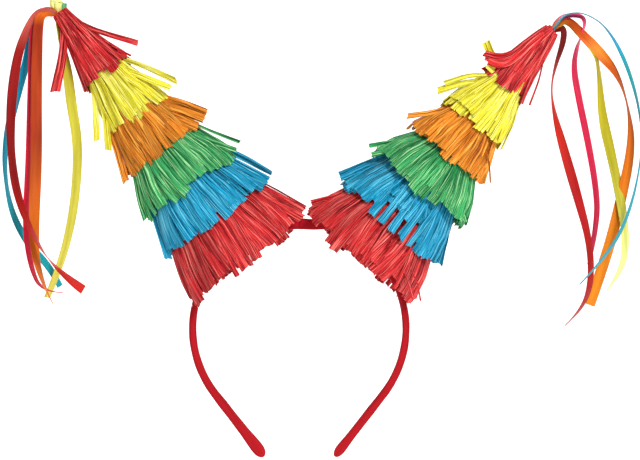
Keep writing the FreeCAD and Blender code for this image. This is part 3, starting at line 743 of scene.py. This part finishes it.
def make_band_half(name, side):
    """A wrapped satin tube from the crown to a rounded tip, with the fold of its seam."""
    total = BAND_MIDDLE * ARC_END + ARM_STRAIGHT
    around = BAND_AROUND
    rest = 1 - BAND_CLOSES
    body = np.linspace(0, BAND_CLOSES, BAND_STEPS)
    ends = BAND_CLOSES + rest * np.sin(np.linspace(0, math.pi / 2, 9)[1:])
    share = np.concatenate([body, ends])
    rows = len(share)
    path = band_line(side, share * total)
    tangent = unit(np.gradient(path, axis=0))
    depth = np.tile([0.0, 1.0, 0.0], (rows, 1))
    out = np.cross(depth, tangent) * side
    shares, thick, wide = zip(*BAND_SHAPES_MM[name])
    closing = np.sqrt(np.clip(1 - np.clip((share - BAND_CLOSES) / rest, 0, 1) ** 2, 0, 1))
    half_thick = np.interp(share, shares, thick) * MM * closing
    half_wide = np.interp(share, shares, wide) * MM * closing
    phase = np.random.default_rng(BAND_SEEDS[name]).uniform(0, 6.28, 6)
    angle = np.linspace(0, 2 * math.pi, around, endpoint=False)
    points = []
    for step in range(rows):
        length = share[step] * total / MM
        ripple = RIPPLE_MM * sum(math.sin(length / reach + p) for reach, p in zip(RIPPLES_MM, phase))
        slant = WRAP_SLANT_MM * np.cos(angle * 2 + length / 5 + phase[4])
        from_seam = angle - SEAM_ANGLE - SEAM_DRIFT_PER_MM * length
        from_seam = np.mod(from_seam + math.pi, 2 * math.pi) - math.pi
        seam = SEAM_MM * np.exp(-(from_seam / SEAM_HALF_ANGLE) ** 2)
        swell = 1 + (ripple + slant - seam) * MM / max(half_thick[step], 1e-4) * closing[step]
        across, deep = np.cos(angle), np.sin(angle)
        across = np.sign(across) * np.abs(across) ** BAND_SQUARENESS
        deep = np.sign(deep) * np.abs(deep) ** BAND_SQUARENESS
        bunch = CROWN_BUNCH_MM * MM * math.exp(-(length / CROWN_BUNCH_REACH_MM) ** 4) * np.maximum(across, 0)
        ring = path[step] + out[step] * (across * half_thick[step] * swell + bunch)[:, None]
        points.append(ring + depth[step] * (deep * half_wide[step] * swell)[:, None])
    points = np.concatenate(points)
    index = np.arange(rows * around).reshape(rows, around)
    after = np.roll(index, -1, axis=1)
    faces = quads(index[:-1], index[1:], after[1:], after[:-1]).tolist()
    faces += [index[0].tolist(), index[-1][::-1].tolist()]
    if side > 0:
        faces = [face[::-1] for face in faces]
    mesh = bpy.data.meshes.new(f"{name}_band_satin")
    mesh.from_pydata(points.tolist(), [], faces)
    layer = mesh.uv_layers.new(name="fibre_mm")
    mm_per_radian = 5.0
    uv = np.column_stack([np.tile(angle * mm_per_radian, rows), np.repeat(share * total / MM, around)])
    layer.data.foreach_set("uv", uv[np.concatenate(faces)].astype(np.float32).ravel())
    mesh.materials.append(BAND_SATIN)
    mesh.shade_smooth()
    band = bpy.data.objects.new(f"{name}_band_satin", mesh)
    bpy.context.collection.objects.link(band)
    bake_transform(band)
    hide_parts("crown_sleeve", f"{name}_arm_sleeve", f"{name}_end_cap")


# ---------------------------------------------------------------- the ribbons

RIBBON_WIDTH = 0.007
RIBBON_THICKNESS_MM = 0.3
# How much narrower it is drawn on each side, how far it bows across, how far it is gathered
# at the knot and over how many steps, and how many steps its twist is smoothed over.
RIBBON_TRIM = 0.0001
RIBBON_BOW_MM = 0.25
RIBBON_COLUMNS = 7
KNOT_PINCH, PINCH_STEPS = 0.55, 6
TWIST_SMOOTHING = 7
# Layers are this far apart at the knot, and lean apart by this angle.
LAYER_MM = 1.4
TILT = math.radians(3)
# Each ribbon: its layer from front (-2) to back (+2) at the knot and where it hangs, its route
# as (x, z) in millimetres from the knot to its cut end, and its twist as (share of its length,
# degrees), where 0 is face on and 90 is edge on.
RIBBONS = {
    "left": {
        "red": ((-2, -2), ((-145.6, 189.2), (-150.4, 191), (-157, 189.6), (-162.6, 179.8),
                     (-168.2, 164.5), (-171.6, 140), (-172.2, 112), (-168.5, 82), (-158.8, 57),
                     (-144.5, 35.5), (-127.7, 23.7)),
                ((0, 74), (0.06, 66), (0.12, 54), (0.2, 47), (0.3, 36), (0.4, 44), (0.5, 58),
                 (0.6, 50), (0.68, 58), (0.78, 74), (0.84, 90), (0.9, 112), (1, 150))),
        "orange": ((-1, -1), ((-145.4, 188.6), (-150.2, 190.6), (-155.4, 188.2), (-156.6, 179.5),
                        (-157, 164), (-157.4, 137), (-157, 100), (-158.6, 62), (-156.4, 34),
                        (-146.8, 15.3)),
                   ((0, 40), (0.12, 34), (0.3, 19), (0.5, 8), (0.65, 16), (0.8, 48), (0.9, 72), (0.95, 86),
                    (1, 100))),
        "pink": ((0, 0), ((-145.6, 189.4), (-150.2, 191), (-156, 189), (-159.4, 181),
                     (-160.4, 166), (-161.2, 138), (-162.4, 96), (-164.2, 62), (-161.2, 37),
                     (-154.5, 22.2), (-142, 21.5)),
                 ((0, 60), (0.2, 62), (0.5, 64), (0.75, 60), (0.85, 70), (0.93, 82), (1, 95))),
        "yellow": ((1, 1), ((-145.4, 189.6), (-144.4, 181), (-142.2, 170), (-139.4, 155),
                       (-137, 134), (-133.7, 115), (-133.6, 94), (-136.6, 67),
                       (-143.8, 38), (-152.3, 18.3)),
                   ((0, 70), (0.12, 62), (0.22, 36), (0.3, 30), (0.5, 42), (0.7, 47), (0.85, 56), (1, 65))),
        "blue": ((2, 2), ((-145.4, 188.8), (-150.2, 190.6), (-156.4, 188), (-161.2, 177),
                     (-164.2, 160), (-171, 138), (-176.9, 116), (-178.6, 96), (-174.8, 70),
                     (-164, 49.4), (-151.5, 37), (-145.4, 24.9)),
                 ((0, 60), (0.1, 50), (0.25, 55), (0.4, 50), (0.5, 68), (0.62, 80), (0.75, 62), (0.85, 54),
                  (1, 66))),
    },
    "right": {
        "turquoise": ((-2, -2), ((151.8, 178.6), (156, 186), (162, 189.4), (171.6, 189.2),
                           (184.8, 180.6), (196.6, 157.5), (204.2, 128), (204.2, 101),
                           (196.4, 68), (183.4, 44), (166.3, 26.7)),
                      ((0, 80), (0.1, 82), (0.16, 79), (0.22, 71), (0.28, 64), (0.35, 66), (0.42, 72),
                       (0.52, 77), (0.62, 78), (0.75, 70), (0.88, 70), (1, 84))),
        "red": ((-1, -1), ((151.8, 178.4), (156.8, 181.2), (159, 178.4), (158, 170.5), (153.8, 158.5),
                     (150.8, 145), (152.4, 130), (157.8, 109), (165.8, 81), (173.4, 53),
                     (174.6, 28), (168.4, 11), (158.4, 2.1)),
                ((0, 50), (0.08, 56), (0.15, 70), (0.2, 79), (0.25, 78), (0.3, 66), (0.38, 40), (0.5, 25),
                 (0.7, 50), (0.85, 55), (1, 85))),
        "yellow": ((1, -0.5), ((151.8, 178.6), (156.6, 185.2), (162.6, 184.4), (169, 177.6), (177.2, 168.8),
                        (180.2, 154), (181.6, 128), (187.2, 104), (193.2, 75), (196.2, 52),
                        (193.2, 34), (184.3, 22.7)),
                   ((0, 60), (0.05, 46), (0.1, 32), (0.16, 24), (0.23, 70), (0.31, 58), (0.39, 40),
                    (0.47, 22), (0.57, 31), (0.68, 31), (0.77, 42), (0.86, 48), (0.92, 59), (1, 82))),
        "orange": ((0, 0), ((151.8, 178.6), (156.8, 185.8), (162.6, 184.8), (169, 177.4),
                        (179.5, 166.4), (191.8, 152), (198.2, 131), (199.6, 108),
                        (192.6, 75), (184.4, 43), (174, 14.1)),
                   ((0, 62), (0.05, 50), (0.1, 46), (0.16, 14), (0.21, 14), (0.26, 44), (0.31, 66),
                    (0.36, 77), (0.4, 72), (0.48, 46), (0.58, 26), (0.75, 10), (1, 7))),
        "pink": ((2, 2), ((151.6, 178.8), (155.6, 186.4), (163, 188.6), (171.6, 187.4),
                      (171.4, 179.4), (167.2, 170), (165, 157), (168.6, 138), (174, 114),
                      (179.4, 86), (180.8, 64), (175.6, 38)),
                 ((0, 60), (0.06, 64), (0.14, 62), (0.19, 84), (0.24, 105), (0.35, 118), (0.5, 120),
                  (0.75, 115), (0.9, 110), (1, 98))),
    },
}


def smooth_route(name, points):
    """The ribbon's middle line: a NURBS curve with the route's points as its control points."""
    curve = bpy.data.curves.new(name, "CURVE")
    curve.dimensions = "3D"
    curve.resolution_u = 14
    spline = curve.splines.new("NURBS")
    spline.points.add(len(points) - 1)
    for control, place in zip(spline.points, points):
        control.co = (*place, 1)
    spline.order_u = 3
    spline.use_endpoint_u = True
    holder = bpy.data.objects.new(name, curve)
    bpy.context.collection.objects.link(holder)
    mesh = bpy.data.meshes.new_from_object(holder)
    path = np.array([tuple(vertex.co) for vertex in mesh.vertices])
    bpy.data.objects.remove(holder)
    bpy.data.curves.remove(curve)
    bpy.data.meshes.remove(mesh)
    return path


def make_ribbon(cone, colour, layers, route, twists):
    """One satin ribbon that follows its route and turns along its length."""
    label = f"{cone.name}_ribbon_{colour}"
    knot = cone.knot
    points = []
    for x, z in route:
        depth = knot[2] - z * MM
        points.append((x * MM, layers[0] * LAYER_MM * MM + math.sin(layers[1] * TILT) * depth, z * MM))
    path = smooth_route(label + "_route", points)
    steps = np.concatenate([[0], np.cumsum(np.linalg.norm(np.diff(path, axis=0), axis=1))])
    length = float(steps[-1])
    shares, degrees = zip(*twists)
    twist = np.radians(np.interp(steps / length, shares, degrees))
    kernel = np.ones(TWIST_SMOOTHING) / TWIST_SMOOTHING
    twist = np.convolve(np.pad(twist, TWIST_SMOOTHING // 2, mode="edge"), kernel, mode="valid")
    facing = np.tile([0.0, -1.0, 0.0], (len(path), 1))
    side, normal = framed(path, facing, twist)
    half = np.full(len(path), RIBBON_WIDTH / 2 - RIBBON_TRIM)
    half[:PINCH_STEPS] *= np.linspace(KNOT_PINCH, 1, PINCH_STEPS)
    bow = RIBBON_BOW_MM * MM * (1 - np.linspace(-1, 1, RIBBON_COLUMNS) ** 2)
    lift = np.tile(bow, (len(path), 1))
    strips = Strips()
    strips.add(path, side, normal, half, lift, RIBBON_THICKNESS_MM * MM, shift=40 * (layers[0] + 3))
    piece = strips.make(f"{label}_satin", RIBBON_SATINS[f"{cone.name}_{colour}"])
    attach(piece, f"{cone.name}_{colour}_ribbon")
    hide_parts(label)


# ---------------------------------------------------------------- the stub behind the left knot

# The loops of ribbon that stand up behind the left knot, in millimetres: each goes up from the
# knot, turns over and comes down behind itself.
TIP_LOOPS_MM = {
    "yellow": (
        (((-143.8, -1.2, 187.6), (-146.6, -2.0, 192.6), (-147.4, -1.2, 197), (-146.8, 1.4, 193.2)), 5.6),
        (((-143.4, -1.6, 187.6), (-144.6, -2.6, 192.4), (-144.2, -1.6, 196.6), (-143.8, 1.6, 192.4)), 5.2),
    ),
    "green": (
        (((-142.8, -1.0, 187.6), (-141.4, -1.8, 191.4), (-140.6, -0.8, 195.6), (-141.4, 1.8, 191.8)), 3.0),
    ),
}
TIP_STEPS = 17
TIP_SEED = 31


def make_tip_fold():
    """Short folded ends of ribbon that stand up behind the left knot."""
    for colour, loops in TIP_LOOPS_MM.items():
        strips = Strips()
        random = np.random.default_rng(TIP_SEED)
        for points, width in loops:
            path = curve_through(points, TIP_STEPS) * MM
            facing = np.tile([0.0, -1.0, -0.4], (len(path), 1))
            paper_strip(strips, random, path, facing, np.zeros(len(path)), width * MM, narrow=0.7)
        piece = strips.make(f"left_tip_fold_{colour}", TIP_SATINS[colour])
        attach(piece, "root")
        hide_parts("left_tip_fold")


# ---------------------------------------------------------------- the whole object

make_camera()
make_stage()
for side_name, _ in SIDES:
    side_cone = Cone(side_name)
    for ribbon_colour, (ribbon_layers, ribbon_route, ribbon_twists) in RIBBONS[side_name].items():
        make_ribbon(side_cone, ribbon_colour, ribbon_layers, ribbon_route, ribbon_twists)
make_fringe()
for side_name, side_sign in SIDES:
    make_band_half(side_name, side_sign)
make_tip_fold()
finish_cad_nodes()
